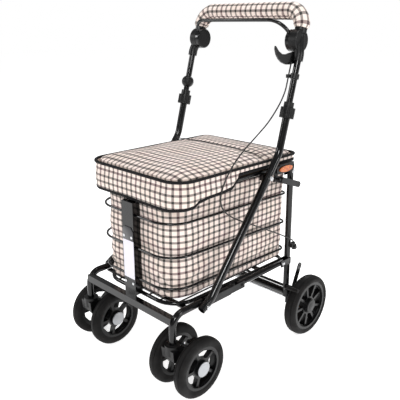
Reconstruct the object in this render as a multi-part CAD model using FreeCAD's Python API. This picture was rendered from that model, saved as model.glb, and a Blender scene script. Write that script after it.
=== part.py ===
"""Shopping trolley on four wheels: a plaid bag in a wire basket under a padded seat lid,
twin front casters, braked rear wheels, telescopic push handle and a folding rear frame.

Millimetres. +Z is up, -Y is the front (caster end), +Y the end where the user walks.
The origin is the middle of the footprint, on the floor.
"""
import FreeCAD
import Part
import math
import os

V = FreeCAD.Vector
X_DIR, Y_DIR, Z_DIR = V(1, 0, 0), V(0, 1, 0), V(0, 0, 1)
CENTRE = V(0, 0, 0)

# --- tube frame: driving dimensions -------------------------------------------------
SIDE_X = 181.5            # middle plane of each side tube
SIDE_R = 9.5
SIDE_FOOT = (-180, 202)   # (y, z) points of the side tube, from the floor end up
SIDE_KNEE = (-147, 219)
SIDE_ELBOW = (94.3, 528.9)
LEAN = math.degrees(math.atan(0.27))   # lean of the handle from upright
COLLAR_S = 115            # outer tube's top end, along the lean from the elbow
WALL = 1.4                # wall of every steel tube

CASTER_X, CASTER_Y = 161.5, -253
RAIL_R = 8.5
RAIL_Z = 208              # height of the low side rails
STEM_BASE = 139
RAIL_BEND = 32
FRONT_PIN = (-166, 207)   # (y, z) of the fold's pivots
MIDDLE_PIN = (-21, 207)
REAR_PIN = (153, 207)
TOP_PIN = (178, 465)
CROSS_BOLT = (55, 474)    # side tube to seat ring
STAY_X = 161.2
STAY_R = 7.2

UPRIGHT_X, UPRIGHT_R = 160.5, 8.5
UPRIGHT_TOP, UPRIGHT_BASE = (178, 470), (187, 94)
PIN_R = 3.5
RUNNING = 0.05            # radial clearance of every running fit

# --- wheels ---------------------------------------------------------------------------
REAR_WHEEL = dict(x=221.3, y=199, z=85, r=85, rim=68.6, width=34.5, bore=6)
CASTER_TRAIL = 44
TWIN_GAP = 42.6           # each twin wheel's middle from the stem's middle
CASTER_WHEEL = dict(y=CASTER_Y + CASTER_TRAIL, z=75, r=75, rim=54.4, width=28, bore=4)

# --- basket, bag, seat ------------------------------------------------------------------
BASKET_X, BASKET_FRONT, BASKET_BACK = 147.5, -234, 187
TAPER = 10.5              # each side of basket and bag comes in by this at the front
PITCH = (5, -4)           # rise of a hoop's front and back from its middle height
WIRE_R = 3
HOOPS = {"top": 404, "middle": 322, "bottom": 243}
BASE_Z, BASE_R, BASE_X, BASE_FRONT = 205, 5, 145.5, -222
BAG_X, BAG_FRONT, BAG_BACK = 142.5, -219, 181
BAG_BASE, BAG_TOP, BAG_WALL = 212, 472, 3
PLATE_X, PLATE_FACE, PLATE_FLANGE = 20.5, -243, -221   # upright channel before the bag
PLATE_BASE, PLATE_TOP = 190, 441
RIVET_X, RIVET_HEIGHTS = 14, (234, 354)
SEAT_X, SEAT_FRONT, SEAT_BACK = 165, -231, 194
SEAT_RING_X, SEAT_RING_Z, SEAT_RING_R = 155, 483, 7
BOARD_Z, BOARD_T, CUSHION_T = 493, 7, 27
LID_HINGE = (193, 488)    # (y, z)
SKIRT_T = 2
SKIRT_EDGE = [(-233, 445), (-215, 448), (-186, 451), (-172, 459), (-133, 463.5), (-95, 465),
              (-66, 467.5), (-45, 481), (-36, 495)]

# --- handle and brake ---------------------------------------------------------------------
HANDLE_R = SIDE_R - WALL - RUNNING
HANDLE_FOOT_S, HANDLE_TOP_S = 44, 349.5
JOG_S, JOG_END_S = 242, 286   # where each side of the handle steps inwards
TOP_X, TOP_BACK = 170, 3      # the handle's top: half width, and shift back from the line
HANDLE_BEND = 42
GRIP_R, GRIP_FOOT_S = 20, 306.5
DRUM = (168, 795)         # (y, z) of the brake lever's pivot
DRUM_R, DRUM_IN, DRUM_SPLIT, DRUM_OUT = 27, 147, 159, 181
BAR_R, BAR_X, BAR_TOP = 4.5, 153, (126, 843)
BRAKE_SHAFT = (186.3, 124)
SHOE = (134.6, 153.6)
ARM_END = (213, 188)
ARM_X = 184
CABLE_R = 1.8
CABLE = [(172.5, 140, 746), (168.3, 137, 715), (169, 124, 668), (170.5, 70, 614),
         (170.5, 20, 583), (170.2, -25, 557), (169.8, -66, 525), (169.4, -95, 487),
         (169.2, -106, 457), (169.1, -101, 431), (168.9, -80, 409), (168.8, -46, 388),
         (168.9, 12, 360), (170, 70, 331), (171.6, 132, 300), (176.2, 165, 281),
         (177.4, 183, 270)]
CABLE_SPLIT = 8           # the cable is in two stretches, parted half way to this point


def save(name, *shapes):
    """Write one sub-part, as one solid or as a group of separate solids."""
    solids = [solid for shape in shapes for solid in shape.Solids]
    bad = [solid for solid in solids if not solid.isValid()]
    print(f"{name:24s} {len(solids):3d} solids  {sum(s.Volume for s in solids) / 1000:9.2f} cm3",
          "INVALID" if bad or not solids else "")
    shape = solids[0] if len(solids) == 1 else Part.makeCompound(solids)
    shape.exportStep(f"parts/{name}.step")


def mirrored(shape):
    return shape.mirror(CENTRE, X_DIR)


def both_sides(shape):
    return Part.makeCompound([shape, mirrored(shape)])


def box(x0, x1, y0, y1, z0, z1):
    return Part.makeBox(x1 - x0, y1 - y0, z1 - z0, V(x0, y0, z0))


def bar_x(x0, x1, point, radius):
    """A round bar along X through (y, z)."""
    return Part.makeCylinder(radius, x1 - x0, V(x0, *point), X_DIR)


def bent_path(points, bends, closed=False):
    """Straight runs joined by tangent arcs; bends holds one radius per corner."""
    corners = [V(*p) for p in points]
    count = len(corners)
    inner = range(count) if closed else range(1, count - 1)
    cuts = {}
    for number, i in enumerate(inner):
        back = (corners[i - 1] - corners[i]).normalize()
        ahead = (corners[(i + 1) % count] - corners[i]).normalize()
        half = back.getAngle(ahead) / 2
        radius = bends[number] if isinstance(bends, (list, tuple)) else bends
        reach = radius / math.tan(half)
        middle = corners[i] + (back + ahead).normalize() * (radius / math.sin(half) - radius)
        cuts[i] = (corners[i] + back * reach, middle, corners[i] + ahead * reach)
    edges = []
    last = cuts[count - 1][2] if closed else corners[0]
    for i in inner:
        start, middle, end = cuts[i]
        if (start - last).Length > 1e-6:
            edges.append(Part.LineSegment(last, start).toShape())
        edges.append(Part.Arc(start, middle, end).toShape())
        last = end
    if not closed and (corners[-1] - last).Length > 1e-6:
        edges.append(Part.LineSegment(last, corners[-1]).toShape())
    return edges


def swept(edges, radius):
    """Round rod along tangent edges, each edge its own run, fused."""
    runs = []
    for edge in edges:
        start = edge.valueAt(edge.FirstParameter)
        along = edge.tangentAt(edge.FirstParameter)
        disc = Part.Face(Part.Wire(Part.Circle(start, along, radius).toShape()))
        if isinstance(edge.Curve, Part.Line):
            runs.append(disc.extrude(edge.valueAt(edge.LastParameter) - start))
        else:
            circle = edge.Curve
            turn = math.degrees(edge.Length / circle.Radius)
            runs.append(disc.revolve(circle.Center, along_axis(edge), turn))
    return runs[0].fuse(runs[1:]).removeSplitter() if len(runs) > 1 else runs[0]


def along_axis(edge):
    """The arc's own axis, signed so that it turns the way the edge runs."""
    start = edge.valueAt(edge.FirstParameter)
    return (start - edge.Curve.Center).cross(edge.tangentAt(edge.FirstParameter)).normalize()


def rod(points, radius, bends=10, closed=False):
    return swept(bent_path(points, bends, closed), radius)


def tube(points, radius, wall, bends=10):
    edges = bent_path(points, bends)
    return swept(edges, radius).cut(swept(edges, radius - wall))


def side_points(x, points):
    return [(x, y, z) for y, z in points]


def ring_points(x, front, back, z, taper=0, pitch=(0, 0)):
    """Corners of a level ring; it can narrow towards the front and tip."""
    return [(x - taper, front, z + pitch[0]), (x, back, z + pitch[1]),
            (-x, back, z + pitch[1]), (taper - x, front, z + pitch[0])]


def lean_point(s):
    """(y, z) on the handle's line, s along it from the elbow."""
    lean = math.radians(LEAN)
    return SIDE_ELBOW[0] + s * math.sin(lean), SIDE_ELBOW[1] + s * math.cos(lean)


LEAN_DIR = V(0, math.sin(math.radians(LEAN)), math.cos(math.radians(LEAN)))


def lean_cylinder(x, s0, s1, radius, hole=0):
    base = V(x, *lean_point(s0))
    body = Part.makeCylinder(radius, s1 - s0, base, LEAN_DIR)
    if hole:
        body = body.cut(Part.makeCylinder(hole, s1 - s0, base, LEAN_DIR))
    return body


def rounded_slab(x, front, back, z0, z1, front_r, back_r, taper=0):
    """Plate with round corners in plan."""
    edges = bent_path(ring_points(x, front, back, z0, taper),
                      [front_r, back_r, back_r, front_r], closed=True)
    return Part.Face(Part.Wire(edges)).extrude(V(0, 0, z1 - z0))


def side_tubes():
    top = lean_point(COLLAR_S)
    points = side_points(SIDE_X, [SIDE_FOOT, SIDE_KNEE, SIDE_ELBOW, top])
    body = tube(points, SIDE_R, WALL, [38, 70])
    for pin in (FRONT_PIN, CROSS_BOLT):
        body = body.cut(bar_x(SIDE_X - 15, SIDE_X + 15, pin, PIN_R))
    return body


def caster_points():
    return [(CASTER_X, CASTER_Y, STEM_BASE), (CASTER_X, CASTER_Y, RAIL_Z),
            (CASTER_X, FRONT_PIN[0] + 9, RAIL_Z)]


def caster_tubes():
    """Stem socket, bend and the short rail back to the front pin."""
    body = tube(caster_points(), RAIL_R, WALL + 0.1, RAIL_BEND)
    return body.cut(bar_x(CASTER_X - 15, CASTER_X + 15, FRONT_PIN, PIN_R))


def front_crossbar():
    """Flat-faced channel welded between the two stem tubes."""
    body = box(-CASTER_X, CASTER_X, CASTER_Y - 6.5, CASTER_Y + 10, RAIL_Z - 22, RAIL_Z - 4)
    stem = swept(bent_path(caster_points(), RAIL_BEND), RAIL_R)
    body = body.cut(both_sides(stem))
    channel = box(-CASTER_X + 14, CASTER_X - 14, CASTER_Y - 4.5, CASTER_Y + 12,
                  RAIL_Z - 20, RAIL_Z - 6)
    return body.cut(channel)


def front_plate():
    """Upright channel before the bag; its top strap reaches the seat ring."""
    face = box(-PLATE_X, PLATE_X, PLATE_FACE, PLATE_FACE + 3, PLATE_BASE, PLATE_TOP)
    flange = box(PLATE_X - 2, PLATE_X, PLATE_FACE, PLATE_FLANGE, RAIL_Z - 4, PLATE_TOP)
    for height in HOOPS.values():
        place = (BASKET_FRONT, height + PITCH[0])
        flange = flange.cut(bar_x(0, 40, place, WIRE_R + 0.5))
    flange = flange.cut(bar_x(0, 40, (BASE_FRONT, BASE_Z), BASE_R + 0.3))
    step = box(-12, 12, PLATE_FACE, SEAT_FRONT + 5, PLATE_TOP - 3, PLATE_TOP)
    strap = box(-12, 12, SEAT_FRONT + 3, SEAT_FRONT + 5, PLATE_TOP - 3, SEAT_RING_Z)
    return face.fuse([both_sides(flange), step, strap])


def front_plate_label():
    return box(-19.5, 19.5, PLATE_FACE - 0.8, PLATE_FACE, 246, 344)


def seat_ring():
    """Tube frame under the lid, with lugs for the folding uprights."""
    edges = bent_path(ring_points(SEAT_RING_X, SEAT_FRONT + 12, TOP_PIN[0] + 4, SEAT_RING_Z),
                      [56, 25, 25, 56], closed=True)
    inside = swept(edges, SEAT_RING_R - WALL)
    lug = box(148.2, 151.4, TOP_PIN[0] - 12, TOP_PIN[0] + 12, TOP_PIN[1] - 11, SEAT_RING_Z)
    lug = lug.cut(bar_x(140, 160, TOP_PIN, PIN_R + RUNNING))
    ear = box(161, SIDE_X - SIDE_R, CROSS_BOLT[0] - 9, CROSS_BOLT[0] + 9,
              CROSS_BOLT[1] - 8, CROSS_BOLT[1] + 8)
    ear = ear.cut(bar_x(150, 190, CROSS_BOLT, PIN_R))
    vent = Part.makeCylinder(1.5, 12, V(0, TOP_PIN[0] + 4, SEAT_RING_Z - 12))
    return swept(edges, SEAT_RING_R).fuse([both_sides(lug.fuse(ear))]).cut(inside.fuse(vent))


def basket_hoop(z):
    points = ring_points(BASKET_X, BASKET_FRONT, BASKET_BACK, z, TAPER, PITCH)
    return rod(points, WIRE_R, [62, 20, 20, 62], closed=True)


def basket_base():
    """Tray loop, floor wires, carrying straps and the upright wires behind the bag."""
    loop = rod(ring_points(BASE_X, BASE_FRONT, BASKET_BACK, BASE_Z, TAPER), BASE_R,
               [62, 25, 25, 62], closed=True)
    pieces = []
    for i in range(7):
        x = -120 + 40 * i
        end = BASE_FRONT + (32 if abs(x) > 100 else 0)
        pieces.append(Part.makeCylinder(2, BASKET_BACK - end, V(x, end, BASE_Z), Y_DIR))
    for y in (-195, 90):
        reach = CASTER_X - RAIL_R if y < 0 else BASE_X - 2
        pieces.append(box(-reach, reach, y - 7, y + 7, BASE_Z - 6, BASE_Z - 2))
    wires = []
    for x in (-70, 70):
        back = BASKET_BACK + WIRE_R + 2.5
        wires.append(rod([(x, back, BASE_Z), (x, back, 452),
                          (x, TOP_PIN[0] + 9, SEAT_RING_Z - SEAT_RING_R - 2)], 2.5, 8))
    tray = loop.fuse(pieces)
    return Part.makeCompound([tray] + [wire.cut(tray) for wire in wires])


def shopping_bag():
    """Closed solid of the bag's cloth: four walls and a floor, open at the top."""
    outer = rounded_slab(BAG_X, BAG_FRONT, BAG_BACK, BAG_BASE, BAG_TOP, 56, 18, TAPER)
    inner = rounded_slab(BAG_X - BAG_WALL, BAG_FRONT + BAG_WALL, BAG_BACK - BAG_WALL,
                         BAG_BASE + BAG_WALL, BAG_TOP + 1, 53, 15, TAPER)
    return outer.cut(inner)


def seat_board():
    return rounded_slab(SEAT_X - 4, SEAT_FRONT + 4, SEAT_BACK - 4,
                        BOARD_Z, BOARD_Z + BOARD_T, 46, 20)


def seat_cushion():
    base = BOARD_Z + BOARD_T
    slab = rounded_slab(SEAT_X - 1, SEAT_FRONT + 1, SEAT_BACK, base, base + CUSHION_T, 48, 22)
    rim = [e for e in slab.Edges if abs(e.BoundBox.ZMin - base - CUSHION_T) < 1e-6
           and e.BoundBox.ZLength < 1e-6]
    return slab.makeFillet(11, rim)


def lid_skirt():
    """Flap of cloth round the lid's front and the front half of its sides."""
    top = BOARD_Z + BOARD_T
    reach = -30
    outer = rounded_slab(SEAT_X + SKIRT_T, SEAT_FRONT - SKIRT_T, SEAT_BACK, 420, top, 50, 22)
    inner = rounded_slab(SEAT_X, SEAT_FRONT, SEAT_BACK - SKIRT_T, 410, top + 10, 48, 20)
    profile = SKIRT_EDGE + [(reach, top), (SKIRT_EDGE[0][0], top)]
    outline = Part.makePolygon([V(-200, y, z) for y, z in profile + profile[:1]])
    return outer.cut(inner).common(Part.Face(outline).extrude(V(400, 0, 0)))


def lid_hinges():
    """Fixed knuckle and pin on the ring, at each rear corner."""
    knuckle = bar_x(70, 100, LID_HINGE, 4.4).cut(bar_x(60, 110, LID_HINGE, 2))
    foot = box(70, 100, LID_HINGE[0] - 7, LID_HINGE[0] - 2, SEAT_RING_Z + 2, LID_HINGE[1])
    foot = foot.cut(bar_x(60, 110, LID_HINGE, 2))
    pin = bar_x(70, 130, LID_HINGE, 2)
    tube_space = bar_x(60, 140, (TOP_PIN[0] + 4, SEAT_RING_Z), SEAT_RING_R)
    return both_sides(knuckle.fuse([foot, pin]).cut(tube_space))


def lid_hinge_leaves():
    """The knuckles under the board that turn on the pins."""
    knuckle = bar_x(101, 130, LID_HINGE, 4.4)
    leaf = box(101, 130, LID_HINGE[0] - 26, LID_HINGE[0] + 3, BOARD_Z - 2.5, BOARD_Z)
    body = knuckle.fuse(leaf)
    return both_sides(body.cut(bar_x(90, 140, LID_HINGE, 2 + RUNNING)))


def height_collars():
    return both_sides(lean_cylinder(SIDE_X, COLLAR_S, COLLAR_S + 12, 12.5, HANDLE_R + 0.3))


def lock_ring():
    """Ribbed twist ring that clamps the handle's height."""
    ring = lean_cylinder(SIDE_X, COLLAR_S - 27, COLLAR_S - 1, 18, SIDE_R + RUNNING)
    for k in range(12):
        angle = math.radians(30 * k)
        side = LEAN_DIR.cross(X_DIR).normalize()
        shift = X_DIR * (19.2 * math.cos(angle)) + side * (19.2 * math.sin(angle))
        base = V(SIDE_X, *lean_point(COLLAR_S - 28)) + shift
        ring = ring.cut(Part.makeCylinder(3, 30, base, LEAN_DIR))
    return ring


def top_point(s):
    """Point on the handle's right side above its inward step."""
    y, z = lean_point(s)
    return TOP_X, y + TOP_BACK, z


def handle_side(foot_s, end_s):
    """Right side of the handle, with the step that brings it in to the grip."""
    return [(SIDE_X, *lean_point(foot_s)), (SIDE_X, *lean_point(JOG_S)),
            top_point(JOG_END_S), top_point(end_s)]


def handle_edges(foot_s):
    """The handle's upturned U, its feet at foot_s along the lean."""
    right = handle_side(foot_s, HANDLE_TOP_S)
    left = [(-x, y, z) for x, y, z in reversed(right)]
    return bent_path(right + left, [40, 40, HANDLE_BEND, HANDLE_BEND, 40, 40])


def handle_tube():
    edges = handle_edges(HANDLE_FOOT_S)
    return swept(edges, HANDLE_R).cut(swept(edges, HANDLE_R - WALL))


def handle_core():
    """Space of the handle tube, a hair wider, to cut from what sits on it."""
    return swept(handle_edges(200), HANDLE_R + 0.01)


def grip_pad():
    """Foam sleeve in cloth round the handle's bar and its two corners."""
    right, top = top_point(GRIP_FOOT_S), top_point(HANDLE_TOP_S)
    corners = [right, top, (-top[0], *top[1:]), (-right[0], *right[1:])]
    return swept(bent_path(corners, HANDLE_BEND), GRIP_R).cut(handle_core())


def brake_sleeve(radius, end_s):
    """Clamp sleeve that follows the handle's side up to the grip."""
    return rod(handle_side(227.4, end_s), radius, [40, 40])


def brake_housings():
    """Clamp sleeve on the handle, its collar under the grip, and the fixed half drum."""
    end_s = GRIP_FOOT_S - 0.5
    sleeve = brake_sleeve(12, end_s)
    collar = Part.makeCylinder(15, 13, V(*top_point(end_s - 13)), LEAN_DIR)
    drum = bar_x(DRUM_SPLIT, DRUM_OUT, DRUM, DRUM_R)
    rim = [e for e in drum.Edges if isinstance(e.Curve, Part.Circle)
           and abs(e.BoundBox.XMin - DRUM_OUT) < 1e-6]
    drum = drum.makeFillet(3, rim)
    body = drum.fuse([sleeve, collar])
    pivot = bar_x(DRUM_SPLIT - 1, DRUM_SPLIT + 4.5, DRUM, PIN_R + RUNNING)
    turning = bar_x(DRUM_IN - 5, DRUM_SPLIT, DRUM, DRUM_R + 1)
    return both_sides(body.cut(pivot).cut(turning)).cut(handle_core())


def brake_bar():
    """Lever bar squeezed up to the grip, with the turning half of each drum."""
    ends = [(BAR_X, *DRUM), (BAR_X, *BAR_TOP), (-BAR_X, *BAR_TOP), (-BAR_X, *DRUM)]
    bar = rod(ends, BAR_R, [44, 44])
    hub = bar_x(DRUM_IN, DRUM_SPLIT - 0.3, DRUM, DRUM_R - 0.5)
    rim = [e for e in hub.Edges if isinstance(e.Curve, Part.Circle)
           and abs(e.BoundBox.XMin - DRUM_IN) < 1e-6]
    hub = hub.makeFillet(3, rim)
    pin = bar_x(DRUM_SPLIT - 5, DRUM_SPLIT + 4, DRUM, PIN_R)
    return bar.fuse([both_sides(hub.fuse(pin))])


def cable_clip():
    clip = lean_cylinder(SIDE_X, 184, 196, 11, HANDLE_R + 0.01)
    place = V(SIDE_X - 13.2, 136.2, 709)
    eye = clip.fuse(Part.makeCylinder(6, 8, place))
    hole = Part.makeCylinder(4, 30, place - V(0, 0, 10))
    return eye.cut(hole).cut(lean_cylinder(SIDE_X, 174, 206, HANDLE_R + 0.01))


def holder_ball():
    centre = V(-SIDE_X, *lean_point(152))
    return Part.makeSphere(17, centre).cut(lean_cylinder(-SIDE_X, 125, 183, HANDLE_R + 0.01))


def umbrella_hook():
    """Flat crescent hook that stands forward from the right housing."""
    outline = [(-16, 772), (4, 768), (18, 764), (30, 765), (40, 772), (49, 784), (49.5, 776),
               (46, 764), (39, 753), (30, 745), (18, 740), (4, 740), (-16, 745)]
    start, out = V(166.5, 149.5, 0), V(-0.341, -0.94, 0)
    across = Z_DIR.cross(out).normalize()
    corners = [start + out * u + Z_DIR * z - across * 3.5 for u, z in outline]
    hook = Part.Face(Part.makePolygon(corners + corners[:1])).extrude(across * 7)
    drum = bar_x(DRUM_IN - 1, DRUM_OUT + 1, DRUM, DRUM_R + 0.05)
    return hook.cut(brake_sleeve(12.05, GRIP_FOOT_S)).cut(drum)


def upright(y_z):
    """The upright's y at a height."""
    share = (UPRIGHT_TOP[1] - y_z) / (UPRIGHT_TOP[1] - UPRIGHT_BASE[1])
    return UPRIGHT_TOP[0] + share * (UPRIGHT_BASE[0] - UPRIGHT_TOP[0])


def rear_upright():
    points = side_points(UPRIGHT_X, [UPRIGHT_TOP, UPRIGHT_BASE])
    length = math.dist(UPRIGHT_TOP, UPRIGHT_BASE)
    down = V(0, UPRIGHT_BASE[0] - UPRIGHT_TOP[0], UPRIGHT_BASE[1] - UPRIGHT_TOP[1])
    outer = Part.makeCylinder(UPRIGHT_R, length, V(*points[0]), down)
    inner = Part.makeCylinder(UPRIGHT_R - WALL, length - 4, V(*points[0]) + down * 0.005, down)
    body = outer.cut(inner)
    cheeks = []
    for x0, x1 in ((151.6, 153.6), (168.8, 170.8)):
        cheek = box(x0, x1, REAR_PIN[0] - 9, upright(REAR_PIN[1]) + 3,
                    REAR_PIN[1] - 9, REAR_PIN[1] + 9)
        cheeks.append(cheek)
    back = box(151.6, 170.8, upright(REAR_PIN[1]) + 1, upright(REAR_PIN[1]) + 3.5,
               REAR_PIN[1] - 9, REAR_PIN[1] + 9)
    gusset = Part.Face(Part.makePolygon([V(165, 182, 130), V(165, 178, 78), V(165, 212, 74),
                                         V(165, 212, 96), V(165, 196, 118), V(165, 182, 130)]))
    body = body.fuse(cheeks + [back, gusset.extrude(V(4, 0, 0))])
    body = body.cut(bar_x(145, 175, REAR_PIN, PIN_R))
    body = body.cut(bar_x(145, 175, TOP_PIN, PIN_R))
    body = body.cut(bar_x(145, 175, BRAKE_SHAFT, 4 + RUNNING))
    return body.cut(bar_x(145, 175, (REAR_WHEEL["y"], REAR_WHEEL["z"]), 5))


def axle_beam():
    """Cross tube between the feet of the uprights."""
    inner_face = UPRIGHT_X - 5
    place = (upright(107), 107)
    beam = bar_x(-inner_face, inner_face, place, 9.5)
    beam = beam.cut(bar_x(-inner_face, inner_face, place, 9.5 - WALL))
    for side in (-1, 1):
        foot, top = UPRIGHT_BASE, UPRIGHT_TOP
        base = V(side * UPRIGHT_X, *foot)
        beam = beam.cut(Part.makeCylinder(UPRIGHT_R, 400, base - V(0, 0, 1),
                                          V(0, top[0] - foot[0], top[1] - foot[1])))
    return beam


def rear_axle():
    """Steel axle through both gussets, with a nut outside each wheel."""
    place = (REAR_WHEEL["y"], REAR_WHEEL["z"])
    axle = bar_x(-233, 233, place, 5)
    collar = bar_x(169, 201, place, 8)
    return axle.fuse([both_sides(collar)])


def brake_shaft():
    """Cross shaft with its cable arm on the right and a shoe arm at each wheel."""
    shaft = bar_x(-200, 200, BRAKE_SHAFT, 4)
    arms = []
    for side in (-1, 1):
        arms.append(plate_link(side * 196, 3, BRAKE_SHAFT, SHOE, 7.5))
    cable_arm = plate_link(ARM_X, 3, BRAKE_SHAFT, ARM_END, 8)
    for share in (0.82, 0.98):
        hole = [BRAKE_SHAFT[i] + share * (ARM_END[i] - BRAKE_SHAFT[i]) for i in (0, 1)]
        cable_arm = cable_arm.cut(bar_x(ARM_X - 5, ARM_X + 5, hole, 2.6))
    return shaft.fuse(arms + [cable_arm])


def plate_link(x, thickness, start, end, half):
    """Flat link with round ends in a YZ plane."""
    x0 = x - thickness / 2
    run = math.dist(start, end)
    along = V(0, (end[0] - start[0]) / run, (end[1] - start[1]) / run)
    across = X_DIR.cross(along)
    first, last = V(x0, *start), V(x0, *end)
    outline = [first + across * half, last + across * half, last - across * half,
               first - across * half, first + across * half]
    flat = Part.Face(Part.makePolygon(outline)).extrude(V(thickness, 0, 0))
    ends = [bar_x(x0, x0 + thickness, place, half) for place in (start, end)]
    return flat.fuse(ends)


def brake_shoes():
    return both_sides(bar_x(197.5, 236, SHOE, 5.5))


def cable_adjuster():
    """Clip on the right upright, with the cable's end stop and thumb nut."""
    lower, upper = V(177.4, 192, 244), V(177.4, 184.5, 264)
    along = (upper - lower).normalize()
    barrel = Part.makeCylinder(5, (upper - lower).Length, lower, along)
    nut = Part.makeCylinder(7.5, 9, lower + along * 2, along)
    clip = box(169.3, 180, 177, 192, 250, 262)
    hollow = Part.makeCylinder(1, 60, lower - along * 20, along)
    return barrel.fuse([nut, clip]).cut(hollow)


def inner_wire():
    start = V(177.4, 192, 243.7)
    return Part.makeCylinder(0.9, 47.5, start, V(4, 16.2, -44.3))


def front_stays():
    """Channel links under the rails, from the front pins to the middle pins."""
    y0, z0 = FRONT_PIN
    y1 = MIDDLE_PIN[0]
    outer = box(170.4, 171.8, y0 - 8, y1 + 9, z0 - 9.5, z0 + 8)
    inner = box(150.8, 152.2, y0 - 8, y1 + 9, z0 - 9.5, z0 + 8)
    web = box(150.8, 171.8, y0 + 14, y1 - 42, z0 - 11, z0 - 9.5)
    filler = Part.makeCylinder(STAY_R, y1 - y0 - 46, V(STAY_X, y0 + 19, z0 + 1), Y_DIR)
    ties = [box(152, 170.6, y, y + 6, z0 - 5, z0 - 1) for y in (y0 + 30, y1 - 42)]
    body = outer.fuse([inner, web, filler] + ties)
    body = body.cut(bar_x(145, 180, FRONT_PIN, PIN_R + RUNNING))
    pins = [bar_x(150.8, 153.5, MIDDLE_PIN, PIN_R), bar_x(169, 174.5, MIDDLE_PIN, PIN_R)]
    return both_sides(body.fuse(pins))


def rear_stays():
    y0, y1 = MIDDLE_PIN[0] - 9, REAR_PIN[0] + 9
    z = MIDDLE_PIN[1]
    body = Part.makeCylinder(STAY_R, y1 - y0, V(STAY_X, y0, z), Y_DIR)
    core = Part.makeCylinder(STAY_R - WALL, y1 - y0 - 50, V(STAY_X, y0 + 25, z), Y_DIR)
    body = body.cut(core)
    for pin in (MIDDLE_PIN, REAR_PIN):
        body = body.cut(bar_x(145, 180, pin, PIN_R + RUNNING))
    return both_sides(body)


def dome_bolt(x, point, head_r=6, height=3.5):
    head = Part.makeCylinder(head_r, height, V(x, *point), X_DIR)
    top = [e for e in head.Edges if abs(e.BoundBox.XMin - x - height) < 1e-6
           and e.BoundBox.XLength < 1e-6 and isinstance(e.Curve, Part.Circle)]
    return head.makeFillet(height * 0.6, top)


def frame_bolts():
    front = bar_x(149.2, 191, FRONT_PIN, PIN_R).fuse(dome_bolt(191, FRONT_PIN))
    cross = bar_x(161, 191, CROSS_BOLT, PIN_R).fuse(dome_bolt(191, CROSS_BOLT))
    rivets = []
    for z in RIVET_HEIGHTS:
        rivet = Part.makeCylinder(3.4, 2, V(RIVET_X, PLATE_FACE - 2, z), Y_DIR)
        rivets.append(both_sides(rivet))
    return Part.makeCompound([both_sides(front), both_sides(cross)] + rivets)


def rear_bolts():
    top = bar_x(146.5, 170, TOP_PIN, PIN_R).fuse(dome_bolt(169, TOP_PIN, 5.5, 2.4))
    rear = bar_x(151.6, 171, REAR_PIN, PIN_R).fuse(dome_bolt(170.8, REAR_PIN, 5.5, 2.4))
    return Part.makeCompound([both_sides(top), both_sides(rear)])


LEVER_PIN = (100, 461)


def release_lever():
    """Channel lever under the seat's right side that frees the fold."""
    tip = (188, 430)
    x0 = 172.2
    plate = plate_link(x0 + 0.8, 1.6, LEVER_PIN, tip, 8)
    outer = plate_link(x0 + 9.4, 1.6, (120, 454), tip, 8)
    edge = [(119.1, 461.1), (185.1, 437.8)]
    run = V(0, edge[1][0] - edge[0][0], edge[1][1] - edge[0][1])
    web = Part.Face(Part.makePolygon([V(x0, *edge[0]), V(x0, *edge[1]),
                                      V(x0 + 10.2, *edge[1]), V(x0 + 10.2, *edge[0]),
                                      V(x0, *edge[0])]))
    normal = X_DIR.cross(run).normalize()
    web = web.extrude(normal * 1.6)
    return plate.fuse([outer, web]).cut(bar_x(160, 190, LEVER_PIN, 3 + RUNNING))


def reflector_housings():
    """Black holder of each side reflector; the right one also carries the fold lever."""
    body = box(169.4, 176, 98, 172, 471.5, 493.5)
    edges = [e for e in body.Edges if e.BoundBox.XLength > 6]
    body = body.makeFillet(9, edges)
    arm = box(162.05, 171, 140, 158, 478, 486)
    lip = box(169.4, 180, 104, 166, 493.5, 496)
    body = body.fuse([arm, lip])
    bridge = box(162.05, 171.6, 92, 116, 479, 486)
    cheek = box(169.4, 171.6, 92, 108, 453, 486)
    pin = bar_x(169.4, 186, LEVER_PIN, 3)
    return Part.makeCompound([body.fuse([bridge, cheek, pin]), mirrored(body)])


def reflectors():
    middle = V(176, 134, 482.5)
    lens = Part.makeCylinder(8, 3, middle, X_DIR)
    stretch = FreeCAD.Matrix()
    stretch.A22 = 3.3
    lens.translate(V(0, -middle.y, 0))
    lens = lens.transformGeometry(stretch)
    lens.translate(V(0, middle.y, 0))
    return both_sides(lens)


def revolved(outline, x, y, z):
    """Solid of revolution about X through (x, y, z); outline is (x, r) points."""
    points = [V(px, 0, r) for px, r in outline]
    face = Part.Face(Part.makePolygon(points + points[:1]))
    solid = face.revolve(CENTRE, X_DIR, 360)
    solid.translate(V(x, y, z))
    return solid


def tyre(x, wheel):
    half, edge = wheel["width"] / 2, wheel["width"] * 0.24
    outline = [(-half, wheel["rim"]), (half, wheel["rim"]), (half, wheel["r"] - edge * 1.3),
               (half - edge * 0.35, wheel["r"] - edge * 0.5), (half - edge, wheel["r"] - 1),
               (half - edge * 1.6, wheel["r"]), (edge * 1.6 - half, wheel["r"]),
               (edge - half, wheel["r"] - 1), (edge * 0.35 - half, wheel["r"] - edge * 0.5),
               (-half, wheel["r"] - edge * 1.3)]
    return revolved(outline, x, wheel["y"], wheel["z"])


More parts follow.
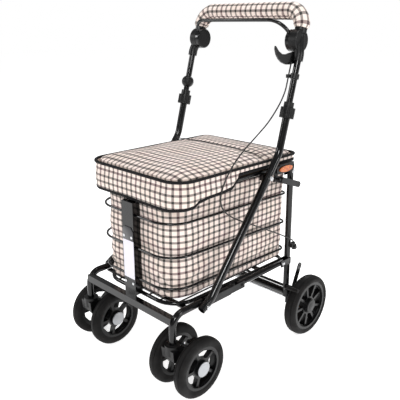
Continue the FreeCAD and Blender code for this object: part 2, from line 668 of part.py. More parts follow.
def rim(x, wheel, spokes, outward, spoke_w, hub_r, cap_x):
    """Moulded rim: band, hub and a spoked web; outward is the side of the hub cap."""
    half = wheel["width"] / 2 - 2.5
    band_in = wheel["rim"] - 7
    band = [(-half, band_in), (half, band_in), (half, wheel["rim"]), (-half, wheel["rim"])]
    body = revolved(band, 0, 0, 0)
    hub = bar_x(-half, half, (0, 0), hub_r)
    web = bar_x(-half * 0.5, half * 0.62, (0, 0), band_in + 1)
    mid = (hub_r + band_in) / 2
    length = band_in - hub_r - 8
    for k in range(spokes):
        low = math.tan(math.pi / spokes) * (mid - length / 2) - spoke_w / 2
        high = math.tan(math.pi / spokes) * (mid + length / 2) - spoke_w / 2
        y0, y1 = mid - length / 2, mid + length / 2
        window = Part.Face(Part.makePolygon([V(-30, y0, low), V(-30, y1, high),
                                             V(-30, y1, -high), V(-30, y0, -low),
                                             V(-30, y0, low)])).extrude(V(60, 0, 0))
        window.rotate(CENTRE, X_DIR, 360 / spokes * k)
        web = web.cut(window)
    cap = bar_x(half - 1, cap_x, (0, 0), hub_r - 1)
    body = body.fuse([hub, web, cap])
    body = body.cut(bar_x(-40, half - 2.5, (0, 0), wheel["bore"] - 1 + RUNNING))
    if outward < 0:
        body = mirrored(body)
    body.translate(V(x, wheel["y"], wheel["z"]))
    return body


def caster_fork(side):
    """Caster body: stem pin, swivel head, trailing housing and the wheels' axle."""
    x, y = side * CASTER_X, CASTER_Y
    axle = (CASTER_WHEEL["y"], CASTER_WHEEL["z"])
    stem = Part.makeCylinder(RAIL_R - WALL - 0.1 - RUNNING, 36, V(x, y, STEM_BASE - 6))
    head = Part.makeCylinder(19, 24, V(x, y, STEM_BASE - 25))
    skirt = Part.makeCone(19, 13, 6, V(x, y, STEM_BASE - 6.8))
    outline = [(y - 17, 130), (y - 15, 104), (y + 10, 78), (axle[0] - 4, axle[1] - 15),
               (axle[0] + 12, axle[1] - 10), (axle[0] + 16, axle[1] + 6),
               (axle[0] + 6, axle[1] + 34), (y + 19, 130)]
    cheek = Part.Face(Part.makePolygon([V(x - 20, *p) for p in outline + outline[:1]]))
    housing = cheek.extrude(V(40, 0, 0))
    pin = bar_x(x - TWIN_GAP - 8.5, x + TWIN_GAP + 8.5, axle, 3)
    boss = bar_x(x - 27.5, x + 27.5, axle, 11)
    return housing.fuse([head, skirt, stem, boss, pin])


def caster_lock(side):
    """Small foot lever behind the caster's housing that stops the swivel."""
    x = side * CASTER_X
    y, z = CASTER_WHEEL["y"] + 14, 112
    lever = box(x - 9, x + 9, y, y + 22, z, z + 5)
    lever = lever.fuse(bar_x(x - 9, x + 9, (y, z + 2.5), 4.5))
    return lever.cut(caster_fork(side))


def cable(points):
    """Brake cable: straight runs and tangent arcs as large as the runs allow."""
    bends = []
    for i in range(1, len(points) - 1):
        back, ahead = V(*points[i - 1]) - V(*points[i]), V(*points[i + 1]) - V(*points[i])
        turn = math.pi - back.getAngle(ahead)
        bends.append(0.45 * min(back.Length, ahead.Length) / math.tan(turn / 2))
    return swept(bent_path(points, bends), CABLE_R)


def build():
    os.makedirs("parts", exist_ok=True)
    pairs = {"side_tube": side_tubes(), "caster_tube": caster_tubes(),
             "rear_upright": rear_upright(), "lock_ring": lock_ring()}
    for name, shape in pairs.items():
        save(name + "_right", shape)
        save(name + "_left", mirrored(shape))
    single = [front_crossbar, front_plate, front_plate_label, seat_ring, basket_base,
              shopping_bag, seat_board, seat_cushion, lid_skirt, lid_hinges, lid_hinge_leaves,
              height_collars, handle_tube, grip_pad, brake_housings, brake_bar, cable_clip,
              holder_ball, umbrella_hook, axle_beam, rear_axle, brake_shaft, brake_shoes,
              cable_adjuster, front_stays, rear_stays, frame_bolts, rear_bolts,
              release_lever, reflector_housings, reflectors]
    for make in single:
        save(make.__name__, make())
    for level, z in HOOPS.items():
        save(f"basket_hoop_{level}", basket_hoop(z))
    meet = (V(*CABLE[CABLE_SPLIT - 1]) + V(*CABLE[CABLE_SPLIT])) * 0.5
    save("brake_cable_upper", cable(CABLE[:CABLE_SPLIT] + [tuple(meet)]))
    save("brake_cable_lower", cable([tuple(meet)] + CABLE[CABLE_SPLIT:]), inner_wire())
    for side, name in ((1, "right"), (-1, "left")):
        x = side * REAR_WHEEL["x"]
        save(f"rear_tyre_{name}", tyre(x, REAR_WHEEL))
        save(f"rear_rim_{name}", rim(x, REAR_WHEEL, 9, side, 7, 21, 17))
        save(f"caster_fork_{name}", caster_fork(side))
        save(f"caster_lock_{name}", caster_lock(side))
        for place, shift in (("outer", side), ("inner", -side)):
            wheel_x = side * CASTER_X + shift * TWIN_GAP
            save(f"caster_tyre_{name}_{place}", tyre(wheel_x, CASTER_WHEEL))
            save(f"caster_rim_{name}_{place}", rim(wheel_x, CASTER_WHEEL, 5, shift, 9, 20, 14))


build()
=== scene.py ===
"""The shopping trolley's looks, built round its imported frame.

Metres. -Y is the caster end and +X the right side.
"""
import math

import bmesh
import bpy
import numpy as np
from mathutils import Matrix, Vector, noise


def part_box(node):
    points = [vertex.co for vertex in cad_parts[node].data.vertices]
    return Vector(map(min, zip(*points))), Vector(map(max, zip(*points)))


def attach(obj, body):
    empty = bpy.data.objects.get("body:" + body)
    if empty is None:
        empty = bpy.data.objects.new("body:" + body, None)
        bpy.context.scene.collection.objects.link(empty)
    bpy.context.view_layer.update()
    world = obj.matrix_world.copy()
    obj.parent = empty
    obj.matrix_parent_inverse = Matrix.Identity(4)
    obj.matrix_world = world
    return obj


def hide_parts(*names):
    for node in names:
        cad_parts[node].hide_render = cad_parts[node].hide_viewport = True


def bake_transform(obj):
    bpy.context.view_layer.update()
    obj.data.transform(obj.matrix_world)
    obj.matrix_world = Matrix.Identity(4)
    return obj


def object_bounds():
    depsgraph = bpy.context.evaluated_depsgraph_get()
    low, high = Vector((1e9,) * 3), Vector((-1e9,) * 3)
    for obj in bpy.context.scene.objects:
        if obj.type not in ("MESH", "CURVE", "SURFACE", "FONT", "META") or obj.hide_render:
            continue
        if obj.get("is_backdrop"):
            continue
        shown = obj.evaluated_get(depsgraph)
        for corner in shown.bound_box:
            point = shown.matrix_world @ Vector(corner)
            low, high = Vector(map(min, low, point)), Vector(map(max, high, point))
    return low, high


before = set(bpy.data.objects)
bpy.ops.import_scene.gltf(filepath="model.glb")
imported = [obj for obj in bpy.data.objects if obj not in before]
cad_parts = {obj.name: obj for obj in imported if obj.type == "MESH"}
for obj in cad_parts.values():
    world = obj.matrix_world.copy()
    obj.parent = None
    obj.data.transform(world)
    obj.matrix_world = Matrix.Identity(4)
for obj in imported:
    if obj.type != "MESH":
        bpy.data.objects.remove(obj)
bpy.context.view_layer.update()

# --- Studio ---------------------------------------------------------------------------
# A white paper floor that glows a little, so no horizon shows, under five small area lamps. The
# camera sees a white room, but the walls light dimly, so the black tubes stay deep with thin streaks.
EYE = Vector((0.95867, -0.97242, 0.83492))
EYE_AZIMUTH, EYE_ELEVATION = math.radians(44.584), math.radians(18.118)
LENS_MM, SENSOR_MM = 48.58, 36


def tone(code, alpha=1.0):
    """An sRGB hex colour, such as "f0eae2", as linear red, green, blue and alpha."""
    parts = [int(code[i:i + 2], 16) / 255 for i in (0, 2, 4)]
    return [p / 12.92 if p <= 0.04045 else ((p + 0.055) / 1.055) ** 2.4 for p in parts] + [alpha]


def add(finish, kind, inputs=None, **settings):
    """One shader node in a material, with its settings, its values and its links."""
    node = finish.node_tree.nodes.new("ShaderNode" + kind)
    for key, value in settings.items():
        setattr(node, key, value)
    for key, value in (inputs or {}).items():
        if isinstance(value, bpy.types.NodeSocket):
            finish.node_tree.links.new(value, node.inputs[key])
        else:
            node.inputs[key].default_value = value
    return node


def new_finish(name, colour, **values):
    """A material with its shader's own sockets set."""
    finish = bpy.data.materials.new(name)
    finish.use_nodes = True
    shader = finish.node_tree.nodes["Principled BSDF"]
    shader.inputs["Base Color"].default_value = tone(colour)
    for key, value in values.items():
        shader.inputs[key.replace("_", " ")].default_value = value
    return finish, shader


def feed(finish, shader, **sockets):
    for key, socket in sockets.items():
        finish.node_tree.links.new(socket, shader.inputs[key.replace("_", " ")])


camera = bpy.data.objects.new("camera", bpy.data.cameras.new("camera"))
camera.data.lens, camera.data.sensor_width = LENS_MM, SENSOR_MM
camera.data.clip_start, camera.data.clip_end = 0.05, 60
looking = Vector((-math.sin(EYE_AZIMUTH) * math.cos(EYE_ELEVATION),
                  math.cos(EYE_AZIMUTH) * math.cos(EYE_ELEVATION), -math.sin(EYE_ELEVATION)))
camera.location = EYE
camera.rotation_euler = looking.to_track_quat("-Z", "Y").to_euler()
bpy.context.scene.collection.objects.link(camera)
bpy.context.scene.camera = camera
bpy.context.scene.view_settings.view_transform = "Standard"

world = bpy.data.worlds.new("white room")
bpy.context.scene.world = world
world.use_nodes = True
sky = world.node_tree.nodes
dim_walls, white_behind = sky["Background"], sky.new("ShaderNodeBackground")
dim_walls.inputs["Color"].default_value = tone("ffffff")
dim_walls.inputs["Strength"].default_value = 0.30
white_behind.inputs["Color"].default_value = tone("ffffff")
white_behind.inputs["Strength"].default_value = 1.0
behind = sky.new("ShaderNodeMixShader")
for source, socket in ((sky.new("ShaderNodeLightPath").outputs["Is Camera Ray"], behind.inputs[0]),
                       (dim_walls.outputs[0], behind.inputs[1]),
                       (white_behind.outputs[0], behind.inputs[2]),
                       (behind.outputs[0], sky["World Output"].inputs["Surface"])):
    world.node_tree.links.new(source, socket)

for name, place, size, watts in (("key lamp", (1.5, -1.9, 1.9), 0.6, 30),
                                 ("side lamp", (2.3, 0.5, 1.3), 0.45, 14),
                                 ("fill lamp", (-1.9, -1.6, 1.5), 0.6, 15),
                                 ("top lamp", (0.1, 0.2, 2.6), 0.9, 20),
                                 ("back lamp", (-0.9, 2.2, 1.9), 0.8, 18)):
    lamp = bpy.data.objects.new(name, bpy.data.lights.new(name, "AREA"))
    lamp.data.size, lamp.data.energy = size, watts
    lamp.location = place
    lamp.rotation_euler = (Vector((0, 0, 0.4)) - Vector(place)).to_track_quat("-Z", "Y").to_euler()
    bpy.context.scene.collection.objects.link(lamp)


def piece(name, bm, finish, body=None, replaces=(), smooth=35):
    """Turns a bmesh into a piece: its object at the origin, its faces shaded smooth up to an angle."""
    mesh = bpy.data.meshes.new(name)
    bm.to_mesh(mesh)
    bm.free()
    made = bpy.data.objects.new(name, mesh)
    bpy.context.scene.collection.objects.link(made)
    mesh.materials.append(finish)
    if smooth:
        mesh.shade_smooth()
        mesh.set_sharp_from_angle(angle=math.radians(smooth))
    if body:
        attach(made, body)
    if replaces:
        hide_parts(*replaces)
    return made


paper, shader = new_finish("matt white paper", "ffffff", Roughness=0.95, Specular_IOR_Level=0.0,
                           Emission_Color=tone("ffffff"), Emission_Strength=0.70)
grain = add(paper, "TexNoise", {"Vector": add(paper, "TexCoord").outputs["Object"], "Scale": 900.0})
feed(paper, shader, Normal=add(paper, "Bump", {"Height": grain.outputs["Fac"], "Strength": 0.05,
                                              "Distance": 0.0002}).outputs["Normal"])
bm = bmesh.new()
bmesh.ops.create_grid(bm, x_segments=8, y_segments=8, size=14)
piece("floor", bm, paper, smooth=None)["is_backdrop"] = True


# --- Frame tubes and wire basket ------------------------------------------------------------
# Steel tube and wire, welded, then dipped in gloss black enamel. The enamel gives deep black
# with sharp pale streaks and a faint ripple, as sprayed and baked paint has.
def dress(finish, *nodes):
    """Gives CAD nodes one finish."""
    for node in nodes:
        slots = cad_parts[node].data.materials
        slots.clear()
        slots.append(finish)


def bumped(finish, shader, scale_mm, strength, depth_mm, rough=None):
    """A fine noise in the surface, with grains of a real size, and its roughness range."""
    place = add(finish, "TexCoord").outputs["Object"]
    grains = add(finish, "TexNoise", {"Vector": place, "Scale": 1000 / scale_mm, "Detail": 3.0})
    bump = add(finish, "Bump", {"Height": grains.outputs["Fac"], "Strength": strength,
                                "Distance": depth_mm / 1000})
    feed(finish, shader, Normal=bump.outputs["Normal"])
    if rough:
        wear = add(finish, "TexNoise", {"Vector": place, "Scale": 28.0, "Detail": 4.0})
        span = add(finish, "MapRange", {"Value": wear.outputs["Fac"], "From Min": 0.35,
                                        "From Max": 0.7, "To Min": rough[0], "To Max": rough[1]})
        feed(finish, shader, Roughness=span.outputs["Result"])
    return place


enamel, shader = new_finish("gloss black enamel", "040405", Specular_IOR_Level=0.36,
                            Coat_Weight=0.12, Coat_Roughness=0.04)
bumped(enamel, shader, 2.5, 0.10, 0.05, rough=(0.12, 0.26))
dress(enamel, "side_tube_right", "side_tube_left", "caster_tube_right", "caster_tube_left",
      "front_crossbar", "front_plate", "seat_ring", "basket_base", "basket_hoop_top",
      "basket_hoop_middle", "basket_hoop_bottom", "handle_tube", "brake_bar",
      "rear_upright_right", "rear_upright_left", "axle_beam", "rear_stays", "brake_shaft")

satin, shader = new_finish("satin black enamel on pressed steel", "0a0a0c", Roughness=0.4,
                           Specular_IOR_Level=0.35)
bumped(satin, shader, 1.2, 0.15, 0.05, rough=(0.34, 0.5))
dress(satin, "front_stays", "release_lever")


# --- Bolts, axle and hinges -----------------------------------------------------------------
# Zinc-plated steel: pale grey metal with a soft brushed cloudiness.
zinc, shader = new_finish("bright zinc-plated steel", "c9cacc", Metallic=1.0, Roughness=0.28)
bumped(zinc, shader, 0.8, 0.1, 0.03, rough=(0.22, 0.42))
dress(zinc, "frame_bolts", "rear_bolts", "rear_axle", "lid_hinges", "lid_hinge_leaves")


# --- Moulded fittings -------------------------------------------------------------------------
# Brake housings, rings, clips, reflector holders and caster bodies, moulded in black ABS with a
# fine spark-eroded texture, which leaves a soft grey sheen.
moulded, shader = new_finish("moulded black ABS", "070708", Specular_IOR_Level=0.34)
bumped(moulded, shader, 0.7, 0.25, 0.06, rough=(0.34, 0.5))
dress(moulded, "height_collars", "lock_ring_right", "lock_ring_left", "brake_housings",
      "cable_clip", "holder_ball", "umbrella_hook", "cable_adjuster", "reflector_housings",
      "caster_fork_right", "caster_fork_left", "caster_lock_right", "caster_lock_left")


# --- Side reflectors ---------------------------------------------------------------------------
# Oval amber acrylic, its back moulded in small prisms that throw the light back orange. Its amber is its
# own; the pale middle and dark edge of each prism are painted reflection of the light they throw back.
amber, shader = new_finish("moulded amber acrylic", "f0730c", Roughness=0.12, IOR=1.49,
                           Coat_Weight=0.6)
place = add(amber, "TexCoord").outputs["Object"]
prisms = add(amber, "TexVoronoi", {"Vector": place, "Scale": 420.0}, distance="MANHATTAN")
# Painted reflection: each prism is painted pale orange at its middle and dark amber at its edges.
painted_prism_glints = add(amber, "ValToRGB", {"Fac": prisms.outputs["Distance"]})
painted_prism_glints.color_ramp.elements[0].color = tone("f59a1c")
painted_prism_glints.color_ramp.elements[1].color = tone("a83c02")
feed(amber, shader, Base_Color=painted_prism_glints.outputs["Color"],
     Normal=add(amber, "Bump", {"Height": prisms.outputs["Distance"], "Strength": 0.35,
                                "Distance": 0.0004}).outputs["Normal"])
dress(amber, "reflectors")


# --- Plaid cloth -------------------------------------------------------------------------------
# Cotton-rich twill in cream, crossed both ways by 5.6 mm stripes 15.3 mm apart. A stripe shows
# some of its threads, so it is mid grey or wine, and nearly black where two of them cross.
PITCH, STRIPE = 0.0153, 0.0056
COVER, CROSSED = 0.70, 0.38      # share of a stripe's own colour that shows, and less where crossed
TWILL = 0.0011                   # one twill rib; the real thread is half of that, too fine to show
EDGE_BLUR = 0.02                 # softness of a stripe's edge, as a share of the spacing


def plaid_cloth(name, ground, black, wine, green):
    cloth, shader = new_finish(name, ground, Roughness=0.86, Sheen_Weight=0.12, Sheen_Roughness=0.5)
    flat = add(cloth, "SeparateXYZ", {"Vector": add(cloth, "TexCoord").outputs["UV"]})
    stripes, colours = [], []
    for axis in ("X", "Y"):
        cell = add(cloth, "Math", {0: flat.outputs[axis], 1: PITCH}, operation="DIVIDE").outputs[0]
        part = add(cloth, "Math", {0: cell}, operation="FRACT").outputs[0]
        away = add(cloth, "Math", {0: add(cloth, "Math", {0: part, 1: 0.5}, operation="SUBTRACT")
                                   .outputs[0]}, operation="ABSOLUTE").outputs[0]
        half = STRIPE / PITCH / 2
        stripes.append(add(cloth, "MapRange", {"Value": away, "From Min": half + EDGE_BLUR,
                                               "From Max": half - EDGE_BLUR}).outputs["Result"])
        count = add(cloth, "Math", {0: cell}, operation="FLOOR").outputs[0]
        turn = add(cloth, "Math", {0: count, 1: 4.0}, operation="FLOORED_MODULO").outputs[0]
        share = add(cloth, "Math", {0: turn, 1: 4.0}, operation="DIVIDE").outputs[0]
        ramp = add(cloth, "ValToRGB", {"Fac": share})
        ramp.color_ramp.interpolation = "CONSTANT"
        ramp.color_ramp.elements[0].color = tone(wine)
        ramp.color_ramp.elements[1].position = 0.2
        ramp.color_ramp.elements[1].color = tone(black)
        for position, colour in ((0.45, green), (0.7, black)):
            ramp.color_ramp.elements.new(position).color = tone(colour)
        colours.append(ramp.outputs["Color"])
    both = add(cloth, "Math", {0: stripes[0], 1: stripes[1]}, operation="MULTIPLY").outputs[0]
    either = add(cloth, "Math", {0: stripes[0], 1: stripes[1]}, operation="ADD").outputs[0]
    shown = add(cloth, "Math", {0: either, 1: COVER}, operation="MULTIPLY").outputs[0]
    less = add(cloth, "Math", {0: both, 1: CROSSED}, operation="MULTIPLY").outputs[0]
    cover = add(cloth, "Math", {0: shown, 1: less}, operation="SUBTRACT").outputs[0]
    rib = add(cloth, "Math", {0: add(cloth, "Math", {0: flat.outputs["X"], 1: flat.outputs["Y"]},
                                     operation="ADD").outputs[0], 1: TWILL}, operation="DIVIDE").outputs[0]
    wave = add(cloth, "Math", {0: rib, 1: 1.0}, operation="PINGPONG").outputs[0]
    mottle = add(cloth, "MapRange", {"Value": wave, "To Min": 0.86, "To Max": 1.08}).outputs["Result"]
    cover = add(cloth, "Math", {0: cover, 1: mottle}, operation="MULTIPLY", use_clamp=True).outputs[0]
    over = add(cloth, "Math", {0: stripes[1], 1: add(cloth, "MapRange", {
        "Value": stripes[0], "To Min": 1.0, "To Max": 0.5}).outputs["Result"]},
               operation="MULTIPLY").outputs[0]
    line = add(cloth, "Mix", {"Factor": over, 6: colours[0], 7: colours[1]}, data_type="RGBA")
    place = add(cloth, "TexCoord").outputs["Object"]
    cloud = add(cloth, "TexNoise", {"Vector": place, "Scale": 22.0, "Detail": 2.0})
    tint = add(cloth, "ValToRGB", {"Fac": cloud.outputs["Fac"]})
    tint.color_ramp.elements[0].position, tint.color_ramp.elements[1].position = 0.35, 0.65
    tint.color_ramp.elements[0].color = tone(ground)
    tint.color_ramp.elements[1].color = tone("f1e0d8")
    full = add(cloth, "Mix", {"Factor": cover, 6: tint.outputs["Color"], 7: line.outputs[2]},
               data_type="RGBA")
    feed(cloth, shader, Base_Color=full.outputs[2],
         Normal=add(cloth, "Bump", {"Height": wave, "Strength": 0.3, "Distance": 0.00025})
         .outputs["Normal"])
    return cloth


plaid = plaid_cloth("woven cotton plaid", "ead9ce", "060508", "3a0a1e", "0a140f")

binding, shader = new_finish("woven black binding tape", "08070a", Roughness=0.75, Specular_IOR_Level=0.25)
flat = add(binding, "SeparateXYZ", {"Vector": add(binding, "TexCoord").outputs["UV"]})
rib = add(binding, "Math", {0: flat.outputs["X"], 1: 0.0012}, operation="DIVIDE").outputs[0]
wave = add(binding, "Math", {0: rib, 1: 1.0}, operation="PINGPONG").outputs[0]
feed(binding, shader, Normal=add(binding, "Bump", {"Height": wave, "Strength": 0.5,
                                                   "Distance": 0.0004}).outputs["Normal"])


def rounded_line(half, front, back, front_r, back_r, taper=0):
    """A rounded rectangle in plan, anticlockwise from the middle of its back, narrower by taper on
    each side at the front. Gives its length, and a function from a distance along it to the point
    and the outward direction there."""
    runs = []
    across, depth = half - back_r, back - front - back_r - front_r
    for kind, size, start, turn in (
            ("run", across, (0, back), 180), ("arc", back_r, (-across, back - back_r), 90),
            ("run", depth, (-half, back - back_r), 270),
            ("arc", front_r, (-half + front_r, front + front_r), 180),
            ("run", 2 * (half - front_r), (-half + front_r, front), 0),
            ("arc", front_r, (half - front_r, front + front_r), 270),
            ("run", depth, (half, front + front_r), 90),
            ("arc", back_r, (across, back - back_r), 0), ("run", across, (across, back), 180)):
        runs.append((kind, size * (math.pi / 2 if kind == "arc" else 1), size, Vector(start),
                     math.radians(turn)))
    length = sum(run[1] for run in runs)

    def narrowed(point):
        return Vector((point.x * (1 - taper / half * (back - point.y) / (back - front)), point.y))

    def at(s):
        s %= length
        for kind, reach, size, start, turn in runs:
            if s <= reach:
                break
            s -= reach
        if kind == "run":
            way = Vector((math.cos(turn), math.sin(turn)))
            return narrowed(start + way * s), Vector((way.y, -way.x))
        angle = turn + s / size
        out = Vector((math.cos(angle), math.sin(angle)))
        return narrowed(start + out * size), out

    return length, at


def cloth_grid(width, height, step, lay, wrap=False, scale=(1, 1)):
    """A flat rectangle of cloth with its UV map in metres, then laid where lay(u, v) says."""
    bm = bmesh.new()
    bmesh.ops.create_grid(bm, x_segments=max(2, round(width / step[0])),
                          y_segments=max(2, round(height / step[1])), size=0.5)
    uv = bm.loops.layers.uv.new("UVMap")
    for face in bm.faces:
        for loop in face.loops:
            loop[uv].uv = ((loop.vert.co.x + 0.5) * width * scale[0],
                           (loop.vert.co.y + 0.5) * height * scale[1])
    for vert in bm.verts:
        vert.co = lay((vert.co.x + 0.5) * width, (vert.co.y + 0.5) * height)
    if wrap:
        bmesh.ops.remove_doubles(bm, verts=bm.verts, dist=1e-5)
    return bm


def hump(value, low, high):
    """0 at both ends and 1 in the middle."""
    share = min(1, max(0, (value - low) / (high - low)))
    return math.sin(math.pi * share)


def ease(value, low, high):
    share = min(1, max(0, (value - low) / (high - low)))
    return share * share * (3 - 2 * share)


# --- Shopping bag -------------------------------------------------------------------------------
# Sewn from the plaid, one wall all round on a flat floor. It hangs inside the hoops, swells a
# little between them, and creases at its lower corners, where the floor panel pulls it in.
BAG_HALF, BAG_FRONT, BAG_BACK, BAG_FLOOR, BAG_RIM = 0.1420, -0.2185, 0.1805, 0.2135, 0.4715
BASKET_TAPER = 0.0105
HOOP_HEIGHTS = (0.205, 0.243, 0.322, 0.404, 0.483)
BAG_FRONT_R, BAG_BACK_R, BAG_TUCK = 0.055, 0.018, 0.016
BAG_EASE = 0.86                  # the plaid's spacing round the bag is wider than on the lid by this


def plain_line(s, line):
    point, out = line(s)
    return Vector((point.x, point.y, 0)), Vector((out.x, out.y, 0))


def bag_wall(line):
    """Places the bag's wall: u runs round it and v up it."""
    def lay(u, v):
        z = BAG_FLOOR + v
        point, out = plain_line(u, line)
        swell = max(hump(z, low, high) for low, high in zip(HOOP_HEIGHTS, HOOP_HEIGHTS[1:]))
        ripple = noise.noise(Vector((u * 14, z * 9, 3.1))) + 0.5 * noise.noise(Vector((u * 38, z * 16, 7)))
        push = 0.0026 * swell + 0.0022 * ripple * swell
        corner = math.exp(-((abs(point.x) - 0.110) / 0.040) ** 2)
        low = ease(0.330 - z, 0, 0.09)
        front = ease(-0.09 - point.y, 0, 0.07)
        rear = ease(point.y - 0.03, 0, 0.06)
        slant = math.sin((z * 1.1 + abs(point.x) * 1.4 - point.y * 0.4) * 2 * math.pi / 0.034)
        crease = 1.4 * abs(slant) ** 0.7 * math.copysign(1, slant)
        push += 0.0021 * crease * low * corner * (front + 0.8 * rear)
        if v < BAG_TUCK:
            push -= BAG_TUCK - math.sqrt(BAG_TUCK ** 2 - (BAG_TUCK - v) ** 2)
        return point + out * push + Vector((0, 0, z))

    return lay


length, line = rounded_line(BAG_HALF, BAG_FRONT, BAG_BACK, BAG_FRONT_R, BAG_BACK_R, BASKET_TAPER)
bm = cloth_grid(length, BAG_RIM - BAG_FLOOR, (0.004, 0.004), bag_wall(line), wrap=True,
                scale=(BAG_EASE, 1))
uv = bm.loops.layers.uv.verify()
rim = [e for e in bm.edges if e.is_boundary and e.verts[0].co.z < 0.3]
filled = bmesh.ops.holes_fill(bm, edges=rim, sides=0)["faces"]
inner = bmesh.ops.inset_region(bm, faces=filled, thickness=0.02, depth=0)["faces"]
for face in list(inner) + list(filled):
    if face.is_valid:
        for loop in face.loops:
            loop[uv].uv = loop.vert.co.xy
bag = piece("bag_cloth", bm, plaid, body="main_frame", replaces=["shopping_bag"],
            smooth=60)
wall = bag.modifiers.new("cloth thickness", "SOLIDIFY")
wall.thickness, wall.offset = 0.0012, -1


def trim_tube(length, centre, across, up, sides=12, step=0.006):
    """A closed tube of trim that follows centre(s), which gives a point and its outward direction."""
    def lay(u, v):
        point, out = centre(u)
        angle = 2 * math.pi * v
        return point + out * (across * math.cos(angle)) + Vector((0, 0, up * math.sin(angle)))
    bm = cloth_grid(length, 1, (step, 1 / sides), lay, wrap=True)
    bmesh.ops.recalc_face_normals(bm, faces=bm.faces)
    return bm


def bag_hem(s):
    point, out = plain_line(s, line)
    return point + out * 0.0005 + Vector((0, 0, BAG_RIM - 0.003)), out


piece("bag_hem_tape", trim_tube(length, bag_hem, 0.0016, 0.0055), binding, body="main_frame")


# --- Seat lid's skirt -----------------------------------------------------------------------------
# A plaid flap sewn under the lid's piping: deep at the front, stepping up along the sides, and a
# narrow band behind. Black tape binds its lower edge, which waves a little.
SKIRT_TOP = 0.5095
SKIRT_EDGE = [(-0.240, 0.4445), (-0.215, 0.448), (-0.186, 0.451), (-0.172, 0.459),
              (-0.133, 0.4635), (-0.095, 0.465), (-0.066, 0.4675), (-0.045, 0.481),
              (-0.036, 0.4945), (0.300, 0.4955)]


def skirt_edge(y):
    """Height of the flap's lower edge, which steps up smoothly from front to back."""
    for (y0, z0), (y1, z1) in zip(SKIRT_EDGE, SKIRT_EDGE[1:]):
        if y <= y1:
            return z0 + (z1 - z0) * ease(y, y0, y1)
    return SKIRT_EDGE[-1][1]


def skirt_point(s, share):
    """The flap's own surface, share 0 at its lower edge and 1 under the piping."""
    point, out = plain_line(s, skirt_line)
    low = skirt_edge(point.y)
    low += 0.0016 * noise.noise(Vector((s * 16, 0.4, 2.2))) * ease(SKIRT_TOP - low, 0.02, 0.06)
    z = low + (SKIRT_TOP - low) * share
    drop = SKIRT_TOP - z
    push = -0.0022 + 0.0030 * math.sin(math.pi * min(1, drop / 0.075)) * ease(drop, 0, 0.03)
    push += 0.0016 * noise.noise(Vector((s * 11, z * 5, 9))) * ease(drop, 0.01, 0.05)
    return point + out * push + Vector((0, 0, z)), out


skirt_length, skirt_line = rounded_line(half=0.1672, front=-0.2332, back=0.1962, front_r=0.050,
                                        back_r=0.022)
SKIRT_ROWS, SKIRT_EASE = 24, 0.9
bm = cloth_grid(skirt_length, 1, (0.004, 1 / SKIRT_ROWS), lambda s, v: skirt_point(s, v)[0], wrap=True)
uv = bm.loops.layers.uv.verify()
for face in bm.faces:
    for loop in face.loops:
        loop[uv].uv = (loop[uv].uv.x * SKIRT_EASE, loop.vert.co.z)
skirt = piece("lid_skirt_cloth", bm, plaid, body="seat_lid",
              replaces=["lid_skirt"], smooth=60)
wall = skirt.modifiers.new("cloth thickness", "SOLIDIFY")
wall.thickness, wall.offset = 0.0014, -1


def skirt_hem(s):
    point, out = skirt_point(s, 0)
    return point - out * 0.0006 + Vector((0, 0, 0.0022)), out


piece("lid_skirt_binding", trim_tube(skirt_length, skirt_hem, 0.0021, 0.0042), binding, body="seat_lid")


# --- Padded seat lid --------------------------------------------------------------------------------
# Foam on a plywood board under a plaid cover, swollen in the middle and drawn down at its edge.
# A sewn crease crosses it towards the back, held by slanting overcast stitches.
LID_HALF, LID_FRONT, LID_BACK, LID_BOTTOM = 0.163, -0.229, 0.192, 0.5003
LID_EDGE, LID_CROWN, CREASE_Y = 0.5125, 0.5275, 0.065
LID_FRONT_R, LID_BACK_R = 0.047, 0.021
FOAM_TOP = LID_EDGE + 0.006
PAD_PRESSURE, PAD_CAP = 4.0, 0.009
LID_ACROSS, LID_ALONG = 0.0150, 0.0197    # the plaid's spacing on the lid, across and front to back


def simulate_pad(pad, pressure, cap, frames=20):
    """Blows a closed cover up over its foam by cloth simulation, and keeps each point near home."""
    home = np.array([v.co for v in pad.data.vertices])
    settings = pad.modifiers.new("cover", "CLOTH").settings
    settings.use_pressure, settings.uniform_pressure_force = True, pressure
    settings.effector_weights.gravity = 0
    settings.quality = 5
    for number in range(1, frames + 1):
        bpy.context.scene.frame_set(number)
    blown = pad.evaluated_get(bpy.context.evaluated_depsgraph_get())
    there = np.array([v.co for v in blown.data.vertices])
    pad.modifiers.clear()
    bpy.context.scene.frame_set(1)
    moved = there - home
    far = np.linalg.norm(moved, axis=1, keepdims=True)
    moved *= np.minimum(1, cap / np.maximum(far, 1e-9))
    pad.data.vertices.foreach_set("co", (home + moved).astype(np.float32).ravel())
    pad.data.update()


def remeshed(source, voxel):
    """The same shape in even squares, as the simulation needs."""
    squares = source.modifiers.new("squares", "REMESH")
    squares.mode, squares.voxel_size = "VOXEL", voxel
    bpy.context.view_layer.update()
    mesh = bpy.data.meshes.new_from_object(source.evaluated_get(bpy.context.evaluated_depsgraph_get()))
    source.modifiers.clear()
    source.data = mesh


bm = bmesh.new()
bmesh.ops.create_cube(bm, size=1)
bmesh.ops.scale(bm, vec=(2 * LID_HALF, LID_BACK - LID_FRONT, FOAM_TOP - LID_BOTTOM), verts=bm.verts)
bmesh.ops.translate(bm, vec=(0, (LID_FRONT + LID_BACK) / 2, (LID_BOTTOM + FOAM_TOP) / 2),
                    verts=bm.verts)
for sign, radius in ((-1, LID_FRONT_R), (1, LID_BACK_R)):
    upright = [e for e in bm.edges if abs(e.verts[0].co.z - e.verts[1].co.z) > 0.005
               and e.verts[0].co.y * sign > 0.15 and abs(e.verts[0].co.x) > LID_HALF - 1e-4]
    bmesh.ops.bevel(bm, geom=upright, offset=radius, offset_type="OFFSET", segments=12,
                    affect="EDGES", profile=0.5, material=-1)
pad = piece("lid_pad", bm, plaid, smooth=60)
remeshed(pad, 0.006)
simulate_pad(pad, PAD_PRESSURE, PAD_CAP)


